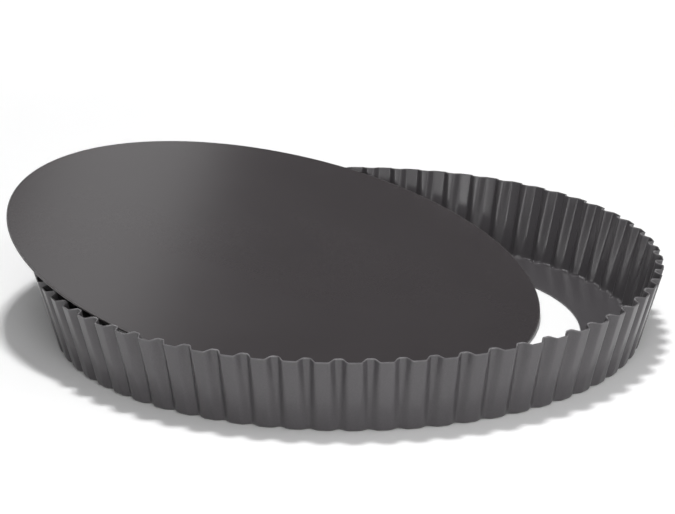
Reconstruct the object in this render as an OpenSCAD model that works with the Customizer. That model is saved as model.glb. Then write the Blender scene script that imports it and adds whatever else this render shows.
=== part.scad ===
// Fluted quiche pan with a loose base. A thin steel ring with a leaning fluted wall turns
// in at the foot to a flat ledge round a large opening. The plain round base belongs on
// that ledge, and lies askew here: its low edge dips through the opening, its underside
// bears on two flutes of the rim, and its high edge hangs out over the side.
// The origin is the ring's centre on the table plane. +Z is up and -Y is the front.

/* [Ring] */
// Outer diameter across the lobes at the rim
rim_d = 280; // [220:1:330]
// Height of the ring
pan_h = 34; // [24:0.5:45]
// How far the wall leans out on each side, from the table plane to the rim
flare = 10; // [4:0.5:16]
// Thickness of the ring's sheet
sheet_t = 0.6; // [0.4:0.05:1]
// Inside radius of the bend between the wall and the ledge
bend_r = 1.5; // [0.8:0.1:2]

/* [Flutes] */
// Number of flutes round the ring
flutes = 65; // [48:1:72]
// Depth of the grooves at the rim
rim_groove = 3.2; // [2.5:0.1:5]
// Depth of the grooves at the foot
foot_groove = 1.2; // [0.6:0.1:2]
// How far the rim stands higher at the grooves than at the lobes
crest_rise = 0.7; // [0:0.1:1.5]

/* [Loose base] */
// Thickness of the base's sheet
base_t = 0.8; // [0.5:0.05:1.5]
// Play all round the base when it lies on the ledge
base_play = 5.2; // [1:0.1:8]
// How far the ledge reaches in under the base when the base lies on it
seat_w = 18.3; // [10:0.1:24]

/* [How the base lies] */
// How far the base's centre is drawn off the ring's centre
base_shift = 37.4; // [33:0.1:44]
// Lobe that the low edge points to, counted from the front lobe towards +X
low_lobe = 11; // [0:1:64]
// Gap between the rim and the underside that bears on it
rest_gap = 0.3; // [0.1:0.05:0.5]
// Gap between the table plane and the low edge
table_gap = 0.3; // [0.1:0.05:1]

/* [Hidden] */

// One flute, from lobe to lobe: the share of the pitch, and the share of the groove's depth
flute_shares = [
    [0, 0], [0.15, 0], [0.22, 0.23], [0.3, 0.68], [0.39, 1],
    [0.61, 1], [0.7, 0.68], [0.78, 0.23], [0.85, 0]
];
// How far beyond a surface every cut and every part cut away runs
overrun = 2;

rim_r = rim_d / 2;
foot_r = rim_r - flare;
pitch_angle = 360 / flutes;
columns = flutes * len(flute_shares);
// Angle of the wall from upright, and the sheet's thickness measured level across it
lean_out = atan(flare / pan_h);
level_t = sheet_t / cos(lean_out);
// The bend's outside radius, and the radius on which its centre runs
outer_bend_r = bend_r + sheet_t;
bend_centre_r = foot_r + outer_bend_r * tan(lean_out) - outer_bend_r / cos(lean_out);

// The flat of the ledge starts at this radius behind the grooves
ledge_r = bend_centre_r - foot_groove;
base_r = ledge_r - base_play;
opening_r = base_r - seat_w;
// Inner edge of the rim at the grooves and its height, where the base bears
crest_r = rim_r - rim_groove - level_t;
crest_z = pan_h + crest_rise;

// The base's lean and place, along the line that it falls
base_lean = lean_between(1, 45, 40);
base_centre_z = table_gap + base_r * sin(base_lean);
fall_angle = low_lobe * pitch_angle - 90;

// Where the leaning base's edge crosses over the grooves' inner edge, along the fall line
function crossing(lean) =
    let (k = 1 / pow(cos(lean), 2))
    let (b = base_shift * k)
    let (c = pow(base_shift, 2) * k + pow(crest_r, 2) - pow(base_r, 2))
    (sqrt(pow(b, 2) - (k - 1) * c) - b) / (k - 1);

// Height of the base's underside at that crossing
function rest_height(lean) =
    table_gap + base_r * sin(lean) - (crossing(lean) + base_shift) * tan(lean);

// The lean between two others at which the underside just clears the rim, by halving
function lean_between(low, high, steps) =
    let (middle = (low + high) / 2)
    steps == 0 ? middle
    : rest_height(middle) < crest_z + rest_gap ? lean_between(middle, high, steps - 1)
    : lean_between(low, middle, steps - 1);

// The fluted outline of the wall's outside at a height
function wall_outline(z) =
    let (r = foot_r + flare * z / pan_h)
    let (depth = foot_groove + (rim_groove - foot_groove) * z / pan_h)
    [for (flute = [0 : flutes - 1], share = flute_shares)
        let (turn = (flute + share[0]) * pitch_angle)
        (r - depth * share[1]) * [sin(turn), -cos(turn)]];

// The outward direction of the edge between two points of an outline
function outward(from, to) = [to[1] - from[1], from[0] - to[0]] / norm(to - from);

// An outline drawn in by one distance all round
function drawn_in(points, distance) =
    let (count = len(points))
    [for (i = [0 : count - 1])
        let (before = outward(points[(i + count - 1) % count], points[i]))
        let (after = outward(points[i], points[(i + 1) % count]))
        points[i] - distance * (before + after) / (1 + before * after)];

// One row of the ring's skin at a height, drawn in from the wall's outside
function skin_row(z, distance, rise = 0) =
    let (points = drawn_in(wall_outline(z), distance))
    [for (i = [0 : columns - 1])
        [points[i][0], points[i][1], z + rise * flute_shares[i % len(flute_shares)][1]]];

// A row of the bend: turn runs from the wall's lean to 90 degrees, where the bend lies flat
function bend_row(radius, turn) =
    let (z = outer_bend_r - radius * sin(turn))
    skin_row(z, foot_r + flare * z / pan_h - bend_centre_r - radius * cos(turn));

// A plain round row inside the opening, which the opening's cut takes away
function round_row(z) =
    [for (i = [0 : columns - 1])
        let (turn = i * 360 / columns)
        [(opening_r - overrun) * sin(turn), -(opening_r - overrun) * cos(turn), z]];

// The sheet's closed skin: down the outside, in under the ledge, and back up the inside
module ring_sheet() {
    bend_turns = [lean_out, (lean_out + 90) / 2, 90];
    rows = [
        skin_row(pan_h, 0, crest_rise),
        for (turn = bend_turns) bend_row(outer_bend_r, turn),
        round_row(0),
        round_row(sheet_t),
        for (i = [len(bend_turns) - 1 : -1 : 0]) bend_row(bend_r, bend_turns[i]),
        skin_row(pan_h, level_t, crest_rise)
    ];
    count = len(rows);
    triangles = [
        for (j = [0 : count - 1], i = [0 : columns - 1])
            let (a = j * columns + i)
            let (b = j * columns + (i + 1) % columns)
            let (c = ((j + 1) % count) * columns + (i + 1) % columns)
            let (d = ((j + 1) % count) * columns + i)
            each [[a, b, c], [a, c, d]]
    ];
    polyhedron(points = [for (row = rows) each row], faces = triangles);
}

// The fluted wall and its ledge, pressed from one sheet, with the round opening
module fluted_ring() {
    color("dimgray")
    difference() {
        ring_sheet();
        translate([0, 0, -overrun])
            cylinder(h = sheet_t + 2 * overrun, r = opening_r, $fn = 180);
    }
}

// The plain flat base, leaning across the ring as it lies
module loose_base() {
    color("gray")
    rotate([0, 0, fall_angle])
    translate([-base_shift, 0, base_centre_z])
    rotate([0, base_lean, 0])
        cylinder(h = base_t, r = base_r, $fn = 180);
}

fluted_ring();
loose_base();
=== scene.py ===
# %% [markdown]
# # A fluted quiche pan with a loose base
#
# The pan is two pieces of thin steel with a dark non-stick coating. One is a ring: a
# fluted wall that leans outwards and turns in at the foot to a flat ledge. The other is a
# plain round base, which lies askew across the ring here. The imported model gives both
# pieces their place and size. This lesson models each again with finer flutes and real
# sheet edges, and gives them a coating that catches the light as the real one does.

import math

import bmesh
import bpy
from mathutils import Matrix, Vector
from mathutils.kdtree import KDTree


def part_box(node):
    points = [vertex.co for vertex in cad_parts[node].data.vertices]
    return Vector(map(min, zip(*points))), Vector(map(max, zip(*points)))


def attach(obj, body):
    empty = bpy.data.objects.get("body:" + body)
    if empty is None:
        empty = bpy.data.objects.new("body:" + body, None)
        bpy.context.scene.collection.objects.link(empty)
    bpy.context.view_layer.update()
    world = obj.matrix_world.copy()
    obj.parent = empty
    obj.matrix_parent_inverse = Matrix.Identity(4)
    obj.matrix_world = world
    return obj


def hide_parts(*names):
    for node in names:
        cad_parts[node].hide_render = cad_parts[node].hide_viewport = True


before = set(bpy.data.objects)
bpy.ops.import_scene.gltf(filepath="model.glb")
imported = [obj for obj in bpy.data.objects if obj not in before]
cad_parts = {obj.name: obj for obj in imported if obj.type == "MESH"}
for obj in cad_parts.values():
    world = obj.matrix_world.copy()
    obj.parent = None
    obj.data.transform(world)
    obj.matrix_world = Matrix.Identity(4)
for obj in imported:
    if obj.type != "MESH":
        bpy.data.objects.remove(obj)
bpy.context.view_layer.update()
scene = bpy.context.scene

# %% [markdown]
# ## Sizes of the ring
#
# All lengths are in metres. The box of the ring's solid tells how wide and how high the
# ring is, so the looks follow it. A box can't tell how deep the grooves are, how thick the
# steel is or how tightly it bends, so those sizes are written out as the solid has them.

# %% Measure the ring
FLUTES = 65
# How far the grooves are pushed in at the rim and at the foot, and how far the rim rises there
RIM_GROOVE = 0.0032
FOOT_GROOVE = 0.0012
CREST_RISE = 0.0007
# The sheet's thickness, the inside radius of its bend, and how far the wall leans out
RING_SHEET = 0.0006
BEND_RADIUS = 0.0015
FLARE = 0.010
OPENING_RADIUS = 0.103729

ring_low, ring_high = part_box("fluted_ring")
rim_radius = -ring_low.y
lobe_height = ring_high.z - CREST_RISE
foot_radius = rim_radius - FLARE
pitch = 2 * math.pi / FLUTES
lean = math.atan2(FLARE, lobe_height)
print("rim", round(rim_radius, 4), "height", round(lobe_height, 4))
print("lean of the wall in degrees", round(math.degrees(lean), 2))

# %% [markdown]
# ## The camera
#
# The photograph was taken from low in front with a long lens, so the pan shows little
# perspective. A camera can be placed by eye, but with so many flutes every small error
# shows. This one stands at the distance, height and heading that a fit of the rim, the
# foot and the base to the photograph gave. It has no shift, because the centre of the
# lens is the centre of the picture.

# %% Place the camera
CAMERA_PLACE = (-0.02983, -1.55968, 0.54331)
CAMERA_TILT = math.radians(71.9158)
CAMERA_HEADING = math.radians(-0.9186)
LENS_MM = 196.74
SENSOR_MM = 36
FARTHEST_SEEN = 50

bpy.ops.object.camera_add(location=CAMERA_PLACE, rotation=(CAMERA_TILT, 0, CAMERA_HEADING))
camera = bpy.context.object
camera.name = "camera"
camera.data.lens = LENS_MM
camera.data.sensor_width = SENSOR_MM
camera.data.clip_end = FARTHEST_SEEN
scene.camera = camera
print("camera", [round(v, 3) for v in camera.location], "lens", camera.data.lens)

# %% [markdown]
# ## Selecting in code
#
# Every operator works on what is selected, and the loaded model is still selected, so each
# piece starts with nothing selected. In a window one would then click the points to work
# on. Here a small test picks them instead: by where they are, by the line that they
# belong to, or by how many sides a face has.

# %% Helpers to select
def select_none():
    """Deselects every object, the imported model's nodes too."""
    if bpy.context.object and bpy.context.object.mode == "EDIT":
        bpy.ops.object.mode_set(mode="OBJECT")
    for item in bpy.context.selected_objects:
        item.select_set(False)


def pick(test, kind="verts"):
    """Selects just those points, edges or faces of the mesh in edit mode that pass a test."""
    mesh = bmesh.from_edit_mesh(bpy.context.object.data)
    for item in list(mesh.verts) + list(mesh.edges) + list(mesh.faces):
        item.select = False
    chosen = [item for item in getattr(mesh, kind) if test(item)]
    for item in chosen:
        item.select = True
    mesh.select_mode = {{"verts": "VERT", "edges": "EDGE", "faces": "FACE"}[kind]}
    mesh.select_flush_mode()
    bmesh.update_edit_mesh(bpy.context.object.data)


select_none()
print("objects selected", len(bpy.context.selected_objects))

# %% [markdown]
# ## The ring, one flute at a time
#
# On the real pan a press forms the wall, the flutes and the ledge from one sheet. The
# whole ring could be one large grid of points, but all its flutes are alike, so it's
# simpler to model one and copy it round. The flute's outside is drawn as lines of points,
# one line across it for every height, and the lines are then bridged into a skin, as
# planks close the ribs of a boat. The list below says where the lines run: down the wall,
# round the bend and in along the ledge to the opening.

# %% Which lines there are
# Shares of the wall's height, from the rim down, closer together where the shape changes
WALL_SHARES = (1.0, 0.982, 0.95, 0.88, 0.78, 0.67, 0.56, 0.45, 0.34, 0.23, 0.12, 0.04)
BEND_STEPS = 6
# How far in along the ledge the grooves fade out, line by line
LEDGE_FADE = (0.0014, 0.0030, 0.0050)
# A narrow band of faces along a sheared edge keeps its rounding crisp
EDGE_BAND = 0.0006

lines = [("wall", share) for share in WALL_SHARES]
lines += [("bend", step / BEND_STEPS) for step in range(BEND_STEPS + 1)]
lines += [("ledge", inwards) for inwards in LEDGE_FADE]
lines += [("opening", EDGE_BAND), ("opening", 0.0)]
print("lines", len(lines))

# %% Where a line runs in the section through the wall
# How much wider the bend is at the foot of a groove
GROOVE_BEND = 0.0012
# The sheared rim stands square to the wall, so its outer edge lies a little lower
rim_drop = RING_SHEET * math.sin(lean)
rim_line = (rim_radius - rim_drop * math.tan(lean), lobe_height - rim_drop)


def bend_at(deep):
    """Outside radius of the bend, and where its centre runs: wider at a groove's foot."""
    outer = BEND_RADIUS + RING_SHEET + GROOVE_BEND * deep
    return outer, foot_radius + outer * math.tan(lean) - outer / math.cos(lean)


def on_section(kind, where, deep):
    """Radius and height of a line with no groove, and how much of a groove it still shows."""
    outer, middle = bend_at(deep)
    if kind == "wall":
        low = (middle + outer * math.cos(lean), outer - outer * math.sin(lean))
        return [a + (b - a) * where for a, b in zip(low, rim_line)] + [1.0]
    if kind == "bend":
        bend_turn = lean + (math.pi / 2 - lean) * where
        return middle + outer * math.cos(bend_turn), outer - outer * math.sin(bend_turn), 1.0
    if kind == "ledge":
        return middle - where, 0.0, 1 - where / LEDGE_FADE[-1]
    return OPENING_RADIUS + where, 0.0, 0.0


wall_bottom = on_section("wall", 0.0, 0.0)[1]
groove_bottom = on_section("wall", 0.0, 1.0)[1]
print("wall ends", round(wall_bottom, 5), "and at a groove", round(groove_bottom, 5))

# %% [markdown]
# ## The shape of a groove
#
# A lobe is flat across and ends in a tight shoulder. From there a straight flank runs in
# to the groove's floor. The groove is deep and broad at the rim. Towards the foot it
# grows shallow and narrow, until its floor is no more than a rounded fold, and a few
# millimetres in along the ledge it is gone. The sheet isn't stretched lengthways, so
# where the wall is pushed in it stands steeper, and the rim rises a little there. A drawn
# curve could be swept up the wall, but it would keep one section all the way. Three short
# functions give the width, the flank and the depth for each height instead.

# %% Width and depth of the groove by height
# Shares of the pitch, from the groove's middle to the end of its floor and its shoulder
RIM_FLOOR, FOOT_FLOOR = 0.115, 0.040
RIM_SHOULDER, FOOT_SHOULDER = 0.270, 0.280
# Below this share of the height, the floor is as narrow as at the foot
FLOOR_ENDS = 0.40
# Half the length of each fillet, as a share of the flank
SHOULDER_FILLET = 0.32
FLOOR_FILLET = 0.3
# A power under 1 keeps the groove deep until close above the foot
DEEPENS = 0.42


def share_up(height):
    """A height of the wall as a share of the whole, from the table to the lobes' rim."""
    return min(max(height / lobe_height, 0.0), 1.0)


def groove_edges(height):
    """Shares of the pitch, from the lobe's middle, where the flank starts and ends."""
    up = share_up(height)
    shoulder = FOOT_SHOULDER + (RIM_SHOULDER - FOOT_SHOULDER) * up
    widened = max(up - FLOOR_ENDS, 0) / (1 - FLOOR_ENDS)
    floor_half = FOOT_FLOOR + (RIM_FLOOR - FOOT_FLOOR) * widened
    return 0.5 - shoulder, 0.5 - floor_half


def flank_share(along):
    """Share of the depth along the flank: straight, with a fillet at either end."""
    if along < -SHOULDER_FILLET:
        return 0.0
    if along < SHOULDER_FILLET:
        return (along + SHOULDER_FILLET) ** 2 / (4 * SHOULDER_FILLET)
    if along < 1 - FLOOR_FILLET:
        return along
    if along < 1 + FLOOR_FILLET:
        return 1 - (1 + FLOOR_FILLET - along) ** 2 / (4 * FLOOR_FILLET)
    return 1.0


def groove_depth(height):
    """Depth of the groove at a height of the wall."""
    return FOOT_GROOVE + (RIM_GROOVE - FOOT_GROOVE) * share_up(height) ** DEEPENS


print("flank at the rim", groove_edges(lobe_height), "at the foot", groove_edges(0))

# %% Places of the points across one flute
# Shares of the flank from shoulder to floor, with points before and after for the fillets
FLANK_POINTS = (-0.4, -0.2, 0.0, 0.2, 0.4, 0.7, 0.85, 1.0, 1.15, 1.3)
# The last of them stays short of the groove's middle, which lies at half the pitch
NEAR_MIDDLE = 0.497


def across_flute(kind, where):
    """Points of one line, from the middle of a lobe to the middle of the next."""
    start, end = groove_edges(on_section(kind, where, 0.0)[1])
    places = [start + (end - start) * along for along in FLANK_POINTS]
    half = [0.0, places[0] * 0.5] + places[:-1] + [min(places[-1], NEAR_MIDDLE), 0.5]
    points = []
    for place in half + [1 - place for place in reversed(half[:-1])]:
        deep = flank_share((min(place, 1 - place) - start) / (end - start))
        radius, height, left = on_section(kind, where, deep)
        drawn_in = radius - groove_depth(height) * deep * left
        up_wall = max(height - wall_bottom, 0) / (lobe_height - wall_bottom)
        raised = height + CREST_RISE * deep * up_wall
        turn = place * pitch
        points.append(Vector((drawn_in * math.sin(turn), -drawn_in * math.cos(turn), raised)))
    return points


COLUMNS = len(across_flute(*lines[0])) - 1
print("columns in a flute", COLUMNS)

# %% Draw each line by extruding a point along it
# A tiny plane, merged to one point, is the start. Two points this close are the same one
START_SIZE = 0.001
SAME_POINT = 1e-6

select_none()
first = across_flute(*lines[0])[0]
bpy.ops.mesh.primitive_plane_add(size=START_SIZE, location=first)
ring = bpy.context.object
ring.name = "pan_ring"
bpy.ops.object.transform_apply(location=True, rotation=True, scale=True)
bpy.ops.object.mode_set(mode="EDIT")
bpy.ops.mesh.select_all(action="SELECT")
bpy.ops.mesh.merge(type="CENTER")
for number, (kind, where) in enumerate(lines):
    line = across_flute(kind, where)
    if number > 0:
        pick(lambda v: (v.co - first).length < SAME_POINT)
        bpy.ops.mesh.duplicate_move(TRANSFORM_OT_translate={"value": tuple(line[0] - first)})
        first = line[0]
    for here, there in zip(line, line[1:]):
        bpy.ops.mesh.extrude_vertices_move(TRANSFORM_OT_translate={"value": tuple(there - here)})
drawn = bmesh.from_edit_mesh(ring.data)
print("points", len(drawn.verts), "expected", len(lines) * (COLUMNS + 1))

# %% Bridge each line to the next
line_of = {vert.index: vert.index // (COLUMNS + 1) for vert in drawn.verts}
for number in range(len(lines) - 1):
    pick(lambda e: len(e.link_faces) < 2
         and {line_of.get(v.index) for v in e.verts} in ({number}, {number + 1}), "edges")
    bpy.ops.mesh.bridge_edge_loops()
drawn = bmesh.from_edit_mesh(ring.data)
print("faces of one flute", len(drawn.faces), "expected", (len(lines) - 1) * COLUMNS)

# %% [markdown]
# ## Copies all round
#
# The flute is now copied round the pan's axis, once for each of the others. An Array
# modifier could do that too, but it needs a turned object as a guide. Spin makes the
# copies in one step, within the same mesh. The copies' edges meet, so merging the points
# that coincide closes the wall. Spin can leave faces that look inwards, so they are
# turned outwards before the sheet gets its thickness.

# %% Copy the flute round the pan and close the wall
MERGE_WITHIN = 2e-6

bpy.ops.mesh.select_all(action="SELECT")
bpy.ops.mesh.spin(steps=FLUTES, angle=2 * math.pi, center=(0, 0, 0), axis=(0, 0, 1), dupli=True)
bpy.ops.mesh.select_all(action="SELECT")
bpy.ops.mesh.remove_doubles(threshold=MERGE_WITHIN)
wall = bmesh.from_edit_mesh(ring.data)
open_edges = sum(1 for edge in wall.edges if edge.is_boundary)
print("points", len(wall.verts), "open edges", open_edges, "expected", 2 * FLUTES * COLUMNS)

# %% Turn the skin's faces outwards
# Faces below this height belong to the ledge and look down, the others away from the axis
ledge_below = wall_bottom / 4


def looks_out(face):
    """Whether a face of the outside skin points away from the steel."""
    middle = face.calc_center_median()
    if middle.z < ledge_below:
        return face.normal.z < 0
    return face.normal.x * middle.x + face.normal.y * middle.y > 0


bpy.ops.mesh.normals_make_consistent(inside=False)
wall = bmesh.from_edit_mesh(ring.data)
wall.normal_update()
wrong = sum(1 for face in wall.faces if not looks_out(face))
if wrong > len(wall.faces) / 2:
    bpy.ops.mesh.flip_normals()
print("faces", len(wall.faces), "turned round", wrong)

# %% [markdown]
# ## The sheet's thickness
#
# The skin so far is the outside of the sheet. The inside could be drawn in the same way,
# but a pressed sheet is equally thick all over, and that is just what Solidify makes from
# one skin. Even thickness keeps it true on the flanks and in the bend.

# %% Give the ring its thickness
bpy.ops.object.mode_set(mode="OBJECT")
thick = ring.modifiers.new("sheet", "SOLIDIFY")
thick.thickness = RING_SHEET
thick.offset = -1
thick.use_even_offset = True
thick.use_quality_normals = True
bpy.ops.object.modifier_apply(modifier=thick.name)
print("ring height", round(max(v.co.z for v in ring.data.vertices), 5))

# %% [markdown]
# ## Sheared edges, and where they wear
#
# The rim and the opening are cut with a shear, and an edge with no radius never catches
# the light, so a small bevel rounds them. A coating is thin on such an edge and rubs off
# there first. The wear could be painted, or found from how sharply the surface turns, but
# that would mark every flute too. So the places of the sharp edges are kept before they
# are rounded. Afterwards each point close to one gets a number in an attribute of the
# mesh, which the material reads as how worn it is.

# %% Helpers for sheared edges
SHARP_ANGLE = math.radians(50)


def round_sharp_edges(piece, size, steps):
    """Rounds the sharp edges of the piece in edit mode and returns where they were."""
    bpy.ops.mesh.select_mode(type="EDGE")
    bpy.ops.mesh.select_all(action="DESELECT")
    bpy.ops.mesh.edges_select_sharp(sharpness=SHARP_ANGLE)
    mesh = bmesh.from_edit_mesh(piece.data)
    places = [vert.co.copy() for vert in mesh.verts if vert.select]
    bpy.ops.mesh.bevel(offset=size, segments=steps, affect="EDGES")
    return places


def mark_worn(piece, places, reach, how_worn):
    """Stores how worn each point is: nothing beyond the reach of a sheared edge."""
    tree = KDTree(len(places))
    for number, place in enumerate(places):
        tree.insert(place, number)
    tree.balance()
    worn = piece.data.attributes.new("worn_edge", "FLOAT", "POINT")
    for point in piece.data.vertices:
        if tree.find(point.co)[2] < reach:
            worn.data[point.index].value = how_worn(point.co)
    marked = sum(1 for item in worn.data if item.value > 0)
    print(piece.name, "sharp points", len(places), "worn points", marked)


print("an edge is sharp from", round(math.degrees(SHARP_ANGLE)), "degrees on")

# %% Helper to finish a piece
SMOOTH_ANGLE = math.radians(40)


def finish_piece(piece):
    """Shades a piece smooth, and puts its place into its mesh and its object at the origin."""
    bpy.ops.object.shade_smooth_by_angle(angle=SMOOTH_ANGLE)
    select_none()
    piece.select_set(True)
    bpy.context.view_layer.objects.active = piece
    bpy.ops.object.transform_apply(location=True, rotation=True, scale=True)
    faces = len(piece.data.polygons)
    print(piece.name, "points", len(piece.data.vertices), "faces", faces)
    piece.select_set(False)


print("an edge is smooth up to", round(math.degrees(SMOOTH_ANGLE)), "degrees")

# %% Round the ring's sheared edges
SHEARED_ROUND = 0.00012
LEAST_WORN = 0.35


def ring_wear(point):
    """The rim's crests stand highest and rub the most, the rest of the edges less."""
    up_crest = min(max((point.z - lobe_height) / CREST_RISE, 0.0), 1.0)
    return LEAST_WORN + (1 - LEAST_WORN) * up_crest


bpy.ops.object.mode_set(mode="EDIT")
ring_edges = round_sharp_edges(ring, SHEARED_ROUND, steps=2)
bpy.ops.object.mode_set(mode="OBJECT")
mark_worn(ring, ring_edges, 2 * SHEARED_ROUND, ring_wear)
finish_piece(ring)

# %% [markdown]
# ## The loose base
#
# The base is a flat disc punched from thicker sheet. It could be a flat cylinder with a
# bevel, but a circle that is extruded by the sheet's thickness keeps its two flat sides as
# single faces, which are easy to find and divide later. The circle lies at the lean and
# heading that the solid has, and its centre is measured from the solid's points, halfway
# between the disc's ends. The punch leaves a small rounding on both its edges.

# %% Place and lean of the base
BASE_RADIUS = 0.122029
BASE_LEAN = math.radians(13.0514)
# Heading of the line that the base falls along, from +X
FALL_TURN = math.radians(-29.0769)

turned = Matrix.Rotation(FALL_TURN, 3, "Z") @ Matrix.Rotation(BASE_LEAN, 3, "Y")
fall_line = turned @ Vector((1, 0, 0))
level_line = turned @ Vector((0, 1, 0))
base_up = turned @ Vector((0, 0, 1))
base_points = [Vector(v.co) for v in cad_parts["loose_base"].data.vertices]


def ends(line):
    """Lowest and highest place of the solid along a line."""
    along = [point.dot(line) for point in base_points]
    return min(along), max(along)


base_centre = (fall_line * sum(ends(fall_line)) / 2 + level_line * sum(ends(level_line)) / 2
               + base_up * ends(base_up)[0])
spread = ends(base_up)[1] - ends(base_up)[0]
print("centre", [round(v, 4) for v in base_centre], "sheet", round(spread, 5))

# %% Model the disc with rounded edges
BASE_SHEET = 0.0008
BASE_SIDES = 360
PUNCH_ROUND = 0.00025

select_none()
bpy.ops.mesh.primitive_circle_add(
    vertices=BASE_SIDES, radius=BASE_RADIUS, fill_type="NGON",
    location=base_centre, rotation=(0, BASE_LEAN, FALL_TURN))
base = bpy.context.object
base.name = "pan_base"
bpy.ops.object.transform_apply(location=True, rotation=True, scale=True)
bpy.ops.object.mode_set(mode="EDIT")
bpy.ops.mesh.select_all(action="SELECT")
bpy.ops.mesh.extrude_region_move(
    TRANSFORM_OT_translate={"value": tuple(base_up * BASE_SHEET)})
bpy.ops.mesh.select_all(action="SELECT")
bpy.ops.mesh.normals_make_consistent(inside=False)
base_edges = round_sharp_edges(base, PUNCH_ROUND, steps=3)
print("points along the punched edges", len(base_edges))

# %% Divide the flat faces in rings
FLAT_RINGS = 4
# How worn the base's edge is, the same all round, because it mostly lies sheltered
BASE_WORN_SHARE = 0.25


def is_flat(face):
    """One of the two large faces of the disc, with a side for each of the circle's."""
    return len(face.verts) >= BASE_SIDES


for width in [EDGE_BAND] + [BASE_RADIUS / (FLAT_RINGS + 1)] * FLAT_RINGS:
    pick(is_flat, "faces")
    bpy.ops.mesh.inset(thickness=width, depth=0)
pick(is_flat, "faces")
bpy.ops.mesh.poke()
bpy.ops.object.mode_set(mode="OBJECT")
mark_worn(base, base_edges, 1.5 * PUNCH_ROUND, lambda point: BASE_WORN_SHARE)
finish_piece(base)

# %% [markdown]
# ## The coating
#
# The steel carries a dark baked non-stick coating. It hides the metal, so it reflects like
# a satin lacquer. Under a lens it has a fine pebbled grain, and over a hand's width its
# tone and gloss vary a little. A picture of a coating could be laid on, but it would
# need a flat map of every flute. Noise in the piece's own coordinates has its true size
# everywhere and no seams. Both pieces use the same effect, so it is a node group with its
# own values for each piece. The group only gives colours, roughness and heights: the
# shader itself stays in the material.

# %% Helpers for nodes
FLOAT = "NodeSocketFloat"
COLOUR = "NodeSocketColor"
VECTOR = "NodeSocketVector"


def add_node(tree, kind, place, **values):
    """Adds a node and sets its properties and, by socket name, its inputs."""
    node = tree.nodes.new(kind)
    node.location = place
    for name, value in values.items():
        if name in node.inputs:
            node.inputs[name].default_value = value
        else:
            setattr(node, name, value)
    return node


def new_group(name, inputs, outputs):
    """A shader node group with named sockets, and its nodes where values enter and leave."""
    group = bpy.data.node_groups.new(name, "ShaderNodeTree")
    for socket, (kind, value) in inputs.items():
        made = group.interface.new_socket(name=socket, in_out="INPUT", socket_type=kind)
        if value is not None:
            made.default_value = value
    for socket, kind in outputs.items():
        group.interface.new_socket(name=socket, in_out="OUTPUT", socket_type=kind)
    print(name, "sockets", [s.name for s in group.interface.items_tree])
    enter = add_node(group, "NodeGroupInput", (-900, 0))
    leave = add_node(group, "NodeGroupOutput", (700, 0))
    return group, enter, leave


print("kinds of socket", FLOAT, COLOUR, VECTOR)

# %% A group for the coating, with its two noises
# Grains and patches of mottling to a metre
GRAIN_SIZE = 1400.0
MOTTLE_SIZE = 28.0

coating, enter, leave = new_group(
    "coating_grain",
    {
        "Place": (VECTOR, None),
        "Mottle place": (VECTOR, None),
        "Colour": (COLOUR, (0.13, 0.125, 0.13, 1)),
        "Roughness": (FLOAT, 0.4),
        "Grain size": (FLOAT, GRAIN_SIZE),
        "Grain": (FLOAT, 0.12),
        "Mottle size": (FLOAT, MOTTLE_SIZE),
        "Mottle": (FLOAT, 0.05),
    },
    {"Colour": COLOUR, "Roughness": FLOAT, "Height": FLOAT},
)
grain = add_node(coating, "ShaderNodeTexNoise", (-600, 200), Detail=3.0, Roughness=0.6)
mottle = add_node(coating, "ShaderNodeTexNoise", (-600, -100), Detail=4.0, Roughness=0.55)
coating.links.new(enter.outputs["Place"], grain.inputs["Vector"])
coating.links.new(enter.outputs["Grain size"], grain.inputs["Scale"])
coating.links.new(enter.outputs["Mottle place"], mottle.inputs["Vector"])
coating.links.new(enter.outputs["Mottle size"], mottle.inputs["Scale"])
coating.links.new(grain.outputs["Fac"], leave.inputs["Height"])
print("grains to a metre", GRAIN_SIZE, "patches to a metre", MOTTLE_SIZE)

# %% What the coating's noises do to tone and gloss
# A noise runs from 0 to 1. With this middle taken off, it darkens as much as it lightens
NOISE_MIDDLE = 0.5
# Tone varies this many times as much as roughness
TONE_BY_GLOSS = 3.0
WHOLE_TONE = 1.0

off_middle = add_node(coating, "ShaderNodeMath", (-380, -100), operation="SUBTRACT")
off_middle.inputs[1].default_value = NOISE_MIDDLE
amount = add_node(coating, "ShaderNodeMath", (-200, -100), operation="MULTIPLY")
coating.links.new(mottle.outputs["Fac"], off_middle.inputs[0])
coating.links.new(off_middle.outputs[0], amount.inputs[0])
coating.links.new(enter.outputs["Mottle"], amount.inputs[1])

fleck = add_node(coating, "ShaderNodeMath", (-380, 200), operation="SUBTRACT")
fleck.inputs[1].default_value = NOISE_MIDDLE
speck = add_node(coating, "ShaderNodeMath", (-200, 200), operation="MULTIPLY_ADD")
speck.inputs[2].default_value = WHOLE_TONE
coating.links.new(grain.outputs["Fac"], fleck.inputs[0])
coating.links.new(fleck.outputs[0], speck.inputs[0])
coating.links.new(enter.outputs["Grain"], speck.inputs[1])

brightness = add_node(coating, "ShaderNodeMath", (0, 120), operation="MULTIPLY_ADD")
brightness.inputs[1].default_value = TONE_BY_GLOSS
tone = add_node(coating, "ShaderNodeVectorMath", (220, 160), operation="SCALE")
gloss = add_node(coating, "ShaderNodeMath", (220, -60), operation="ADD")
coating.links.new(amount.outputs[0], brightness.inputs[0])
coating.links.new(speck.outputs[0], brightness.inputs[2])
coating.links.new(enter.outputs["Colour"], tone.inputs[0])
coating.links.new(brightness.outputs[0], tone.inputs["Scale"])
coating.links.new(tone.outputs[0], leave.inputs["Colour"])
coating.links.new(enter.outputs["Roughness"], gloss.inputs[0])
coating.links.new(amount.outputs[0], gloss.inputs[1])
coating.links.new(gloss.outputs[0], leave.inputs["Roughness"])
print("nodes in the coating's group", len(coating.nodes))

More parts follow.
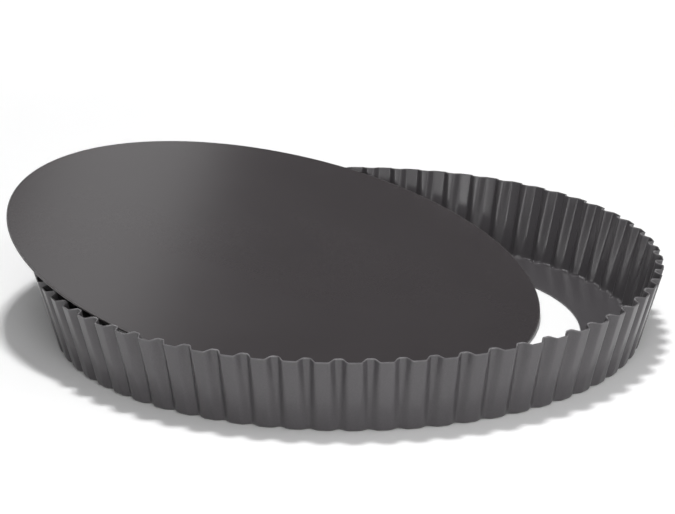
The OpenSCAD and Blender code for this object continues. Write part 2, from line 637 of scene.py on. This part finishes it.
# %% [markdown]
# ## Worn edges
#
# Where the coating has rubbed thin, the edge turns paler and duller. The mesh already
# says which points are worn. If that number alone mixed in the paler colour, the edge
# would be an even line, as if it were painted, so a noise breaks it up into patches. This
# too is a group that both materials use.

# %% A group for the worn edges
# Between these two levels of the noise, the wear grows from its least share to the whole
WEAR_FROM, WEAR_TO = 0.36, 0.58
LEAST_WEAR = 0.35
# Places of a Mix node's sockets: its inputs A and B, and its result, for colours
MIX_COLOUR_A, MIX_COLOUR_B, MIX_COLOUR_RESULT = 6, 7, 2
# The same for numbers
MIX_NUMBER_A, MIX_NUMBER_B, MIX_NUMBER_RESULT = 2, 3, 0

wear, enter, leave = new_group(
    "edge_wear",
    {
        "Worn": (FLOAT, 0.0),
        "Place": (VECTOR, None),
        "Patch size": (FLOAT, 260.0),
        "Colour": (COLOUR, (0.1, 0.1, 0.1, 1)),
        "Worn colour": (COLOUR, (0.2, 0.2, 0.2, 1)),
        "Roughness": (FLOAT, 0.3),
        "Worn roughness": (FLOAT, 0.5),
    },
    {"Colour": COLOUR, "Roughness": FLOAT},
)
patches = add_node(wear, "ShaderNodeTexNoise", (-560, -120), Detail=3.0, Roughness=0.6)
patchy = add_node(wear, "ShaderNodeMapRange", (-340, -120))
patchy.inputs["From Min"].default_value = WEAR_FROM
patchy.inputs["From Max"].default_value = WEAR_TO
patchy.inputs["To Min"].default_value = LEAST_WEAR
mask = add_node(wear, "ShaderNodeMath", (-120, -60), operation="MULTIPLY", use_clamp=True)
wear.links.new(enter.outputs["Place"], patches.inputs["Vector"])
wear.links.new(enter.outputs["Patch size"], patches.inputs["Scale"])
wear.links.new(patches.outputs["Fac"], patchy.inputs["Value"])
wear.links.new(enter.outputs["Worn"], mask.inputs[0])
wear.links.new(patchy.outputs["Result"], mask.inputs[1])

shade = add_node(wear, "ShaderNodeMix", (120, 120), data_type="RGBA")
wear.links.new(mask.outputs[0], shade.inputs["Factor"])
wear.links.new(enter.outputs["Colour"], shade.inputs[MIX_COLOUR_A])
wear.links.new(enter.outputs["Worn colour"], shade.inputs[MIX_COLOUR_B])
wear.links.new(shade.outputs[MIX_COLOUR_RESULT], leave.inputs["Colour"])
dull = add_node(wear, "ShaderNodeMix", (120, -140), data_type="FLOAT")
wear.links.new(mask.outputs[0], dull.inputs["Factor"])
wear.links.new(enter.outputs["Roughness"], dull.inputs[MIX_NUMBER_A])
wear.links.new(enter.outputs["Worn roughness"], dull.inputs[MIX_NUMBER_B])
wear.links.new(dull.outputs[MIX_NUMBER_RESULT], leave.inputs["Roughness"])
print("nodes in the wear's group", len(wear.nodes))

# %% [markdown]
# ## One material for each piece
#
# In the photograph the base is a little smoother and darker than the ring, whose sheet was
# stretched in the press. So both materials are built alike by one function, from the same
# two groups, and differ only in their numbers.

# %% How the coated steel is made up
WORN_ROUGHNESS = 0.5


def coated_steel(name, colour, worn_colour, roughness, grain, grain_height, mottle, up_scale):
    """Dark coated steel: the coating's group, then its worn edges, feed a satin lacquer."""
    material = bpy.data.materials.new(name)
    material.use_nodes = True
    tree = material.node_tree
    tree.nodes.clear()
    place = add_node(tree, "ShaderNodeTexCoord", (-900, 0))
    effect = add_node(tree, "ShaderNodeGroup", (-600, 0))
    effect.node_tree = coating
    for socket, value in {"Colour": (*colour, 1), "Roughness": roughness,
                          "Grain size": GRAIN_SIZE, "Grain": grain,
                          "Mottle size": MOTTLE_SIZE, "Mottle": mottle}.items():
        effect.inputs[socket].default_value = value
    # Under 1, the mottling is drawn out upwards, the way that the wall's sheet was drawn
    drawn_out = add_node(tree, "ShaderNodeMapping", (-780, -200), Scale=(1, 1, up_scale))
    how_worn = add_node(tree, "ShaderNodeAttribute", (-600, 260), attribute_name="worn_edge")
    edges = add_node(tree, "ShaderNodeGroup", (-330, 120))
    edges.node_tree = wear
    edges.inputs["Worn colour"].default_value = (*worn_colour, 1)
    edges.inputs["Worn roughness"].default_value = WORN_ROUGHNESS
    bump = add_node(tree, "ShaderNodeBump", (-300, -200), Strength=0.25, Distance=grain_height)
    shader = add_node(tree, "ShaderNodeBsdfPrincipled", (0, 0), Metallic=0.0, IOR=1.5)
    out = add_node(tree, "ShaderNodeOutputMaterial", (300, 0))
    tree.links.new(place.outputs["Object"], effect.inputs["Place"])
    tree.links.new(place.outputs["Object"], drawn_out.inputs["Vector"])
    tree.links.new(drawn_out.outputs["Vector"], effect.inputs["Mottle place"])
    tree.links.new(place.outputs["Object"], edges.inputs["Place"])
    tree.links.new(how_worn.outputs["Fac"], edges.inputs["Worn"])
    tree.links.new(effect.outputs["Colour"], edges.inputs["Colour"])
    tree.links.new(effect.outputs["Roughness"], edges.inputs["Roughness"])
    tree.links.new(edges.outputs["Colour"], shader.inputs["Base Color"])
    tree.links.new(edges.outputs["Roughness"], shader.inputs["Roughness"])
    tree.links.new(effect.outputs["Height"], bump.inputs["Height"])
    tree.links.new(bump.outputs["Normal"], shader.inputs["Normal"])
    tree.links.new(shader.outputs["BSDF"], out.inputs["Surface"])
    return material


print("roughness of a worn edge", WORN_ROUGHNESS)

# %% Coat the two pieces
ring_finish = coated_steel(
    "pan_ring_coating", colour=(0.068, 0.0640, 0.068), worn_colour=(0.21, 0.205, 0.21),
    roughness=0.30, grain=0.45, grain_height=0.00005, mottle=0.10, up_scale=0.12)
base_finish = coated_steel(
    "pan_base_coating", colour=(0.0495, 0.0445, 0.0465), worn_colour=(0.17, 0.165, 0.165),
    roughness=0.26, grain=0.10, grain_height=0.00002, mottle=0.05, up_scale=1.0)
for piece, finish in ((ring, ring_finish), (base, base_finish)):
    piece.data.materials.clear()
    piece.data.materials.append(finish)
    print(piece.name, "is coated with", finish.name)

# %% [markdown]
# ## The floor
#
# The pan stands on a plain white floor that runs out of sight on all sides, so that it
# serves every view. A bent backdrop would serve only the front. The paint is matt and takes
# the pan's shadow. For the camera and in reflections it also glows a little, so that it
# shows white with no more light on the pan. The lamps don't reach far, so well away from
# the pan and its shadow the glow rises until the floor is white by itself.

# %% Lay the floor
FLOOR_SIZE = 12.0
# A hair below the table plane, so that the pan's foot doesn't lie in the same plane
FLOOR_LEVEL = -0.0001
FLOOR_COLOUR = (0.86, 0.86, 0.86, 1)

bpy.ops.mesh.primitive_plane_add(size=FLOOR_SIZE, location=(0, 0, FLOOR_LEVEL))
floor = bpy.context.object
floor.name = "floor"
floor_paint = bpy.data.materials.new("floor_white")
floor_paint.use_nodes = True
tree = floor_paint.node_tree
tree.nodes.clear()
matt = add_node(tree, "ShaderNodeBsdfDiffuse", (-300, 100), Color=FLOOR_COLOUR)
glow = add_node(tree, "ShaderNodeEmission", (-300, -100), Color=(1, 1, 1, 1))
both = add_node(tree, "ShaderNodeAddShader", (-100, 0))
out = add_node(tree, "ShaderNodeOutputMaterial", (100, 0))
tree.links.new(matt.outputs[0], both.inputs[0])
tree.links.new(glow.outputs[0], both.inputs[1])
tree.links.new(both.outputs[0], out.inputs["Surface"])
floor.data.materials.append(floor_paint)
print("floor", FLOOR_SIZE, "metres wide")

# %% Let the floor glow where it's seen
FLOOR_GLOW = 0.06
WHITE_GLOW = 1.0
# The glow rises between these distances from the pan's middle
FAR_START, FAR_END = 0.35, 1.2

path = add_node(tree, "ShaderNodeLightPath", (-900, -100))
seen = add_node(tree, "ShaderNodeMath", (-700, -100), operation="MAXIMUM")
seen_too = add_node(tree, "ShaderNodeMath", (-600, -100), operation="MAXIMUM")
share_of_glow = add_node(tree, "ShaderNodeMath", (-450, -100), operation="MULTIPLY")
floor_place = add_node(tree, "ShaderNodeTexCoord", (-1100, -300))
how_far = add_node(tree, "ShaderNodeVectorMath", (-900, -300), operation="LENGTH")
far_glow = add_node(tree, "ShaderNodeMapRange", (-700, -300), interpolation_type="SMOOTHSTEP")
far_glow.inputs["From Min"].default_value = FAR_START
far_glow.inputs["From Max"].default_value = FAR_END
far_glow.inputs["To Min"].default_value = FLOOR_GLOW
far_glow.inputs["To Max"].default_value = WHITE_GLOW
tree.links.new(path.outputs["Is Camera Ray"], seen.inputs[0])
tree.links.new(path.outputs["Is Glossy Ray"], seen.inputs[1])
tree.links.new(seen.outputs[0], seen_too.inputs[0])
tree.links.new(path.outputs["Is Transmission Ray"], seen_too.inputs[1])
tree.links.new(seen_too.outputs[0], share_of_glow.inputs[0])
tree.links.new(floor_place.outputs["Object"], how_far.inputs[0])
tree.links.new(how_far.outputs["Value"], far_glow.inputs["Value"])
tree.links.new(far_glow.outputs["Result"], share_of_glow.inputs[1])
tree.links.new(share_of_glow.outputs[0], glow.inputs["Strength"])
print("glow", FLOOR_GLOW, "near the pan and", WHITE_GLOW, "far away")

# %% [markdown]
# ## The light
#
# The photograph shows a short soft shadow round the foot, a broad sheen on the base and
# pale streaks on the lobes. One large lamp could give the shadow, but not the others, and
# its reflection would bleach the base in a view from behind. So each of these jobs has
# soft boxes of its own. Some light only matt surfaces and some show only in reflections,
# which lets tone and gloss be set apart. Together they light the pan from all sides at a
# plain level. The Standard view then shows a colour about as it is written.

# %% How a lamp is made
def soft_box(name, place, target, size, watts, lights):
    """A rectangular area lamp, shining at a target on matt surfaces, in gloss, or both."""
    select_none()
    bpy.ops.object.light_add(type="AREA", location=place)
    lamp = bpy.context.object
    lamp.name = name
    lamp.data.shape = "RECTANGLE"
    lamp.data.size, lamp.data.size_y = size
    lamp.data.energy = watts
    lamp.visible_camera = False
    lamp.visible_diffuse = "matt" in lights
    lamp.visible_glossy = "gloss" in lights
    away = Vector(lamp.location) - Vector(target)
    lamp.rotation_euler = away.to_track_quat("Z", "Y").to_euler()


# What the lamps are aimed at
PAN_FOOT, PAN_WALL, BASE_MIDDLE = (0, 0, 0), (0, 0, 0.02), (-0.05, 0, 0.03)
print("lamps are aimed at", PAN_FOOT, PAN_WALL, BASE_MIDDLE)

# %% Set the lamps and the world
WORLD_COLOUR = (0.97, 0.98, 1.0, 1)
WORLD_STRENGTH = 0.04

LAMPS = (
    # From above: the short shadow, the glints on rounded edges, and a wide soft light
    ("key_lamp", (0.0, 0.10, 1.65), PAN_FOOT, (0.22, 0.22), 19.2, "matt"),
    ("glint_lamp", (0.0, 0.10, 1.65), PAN_FOOT, (0.22, 0.22), 4.0, "gloss"),
    ("overhead_box", (0.0, 0.0, 1.50), PAN_FOOT, (1.0, 1.0), 3.0, "matt and gloss"),
    # From in front and from the right: the tone of the lobes
    ("front_high_box", (0.0, -1.065, 0.746), PAN_WALL, (0.5, 0.5), 4.2, "matt and gloss"),
    ("front_low_box", (0.0, -1.285, 0.17), PAN_WALL, (0.5, 0.28), 4.6, "matt"),
    ("front_right_box", (0.636, -1.101, 0.27), PAN_WALL, (0.5, 0.5), 2.0, "matt and gloss"),
    ("right_box", (1.101, -0.636, 0.27), PAN_WALL, (0.5, 0.5), 1.3, "matt and gloss"),
    ("right_high_box", (1.00, -0.30, 0.85), PAN_WALL, (0.5, 0.5), 2.2, "matt and gloss"),
    # From in front on the left: the pale streaks on the lobes
    ("front_left_box", (-0.97, -0.84, 0.25), PAN_WALL, (0.15, 0.3), 1.4, "gloss"),
    ("front_streak_box", (-0.73, -1.04, 0.25), PAN_WALL, (1.0, 0.35), 2.5, "gloss"),
    # From behind: a plain level for the views from there
    ("back_right_box", (0.64, 1.115, 0.17), PAN_WALL, (0.5, 0.28), 2.5, "matt"),
    ("back_left_box", (-0.636, 1.101, 0.27), PAN_WALL, (0.5, 0.5), 0.5, "matt and gloss"),
    # From high on the left: the light lines on the flutes inside
    ("left_high_box", (-0.922, 0.532, 0.746), PAN_WALL, (0.3, 0.3), 3.0, "gloss"),
    # Two narrow strips behind the pan, whose reflection is the broad sheen on the base
    ("sheen_left", (-0.20, 0.50, 0.42), BASE_MIDDLE, (0.10, 0.20), 0.115, "matt and gloss"),
    ("sheen_middle", (-0.05, 0.50, 0.32), BASE_MIDDLE, (0.10, 0.40), 0.098, "matt and gloss"),
)

world = bpy.data.worlds.new("studio")
scene.world = world
world.use_nodes = True
background = world.node_tree.nodes["Background"]
background.inputs["Color"].default_value = WORLD_COLOUR
background.inputs["Strength"].default_value = WORLD_STRENGTH
for lamp_values in LAMPS:
    soft_box(*lamp_values)
scene.view_settings.view_transform = "Standard"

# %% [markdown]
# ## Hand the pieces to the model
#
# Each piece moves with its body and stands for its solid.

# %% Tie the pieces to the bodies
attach(ring, "ring")
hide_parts("fluted_ring")
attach(base, "base")
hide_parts("loose_base")
print("tied", ring.name, "and", base.name)
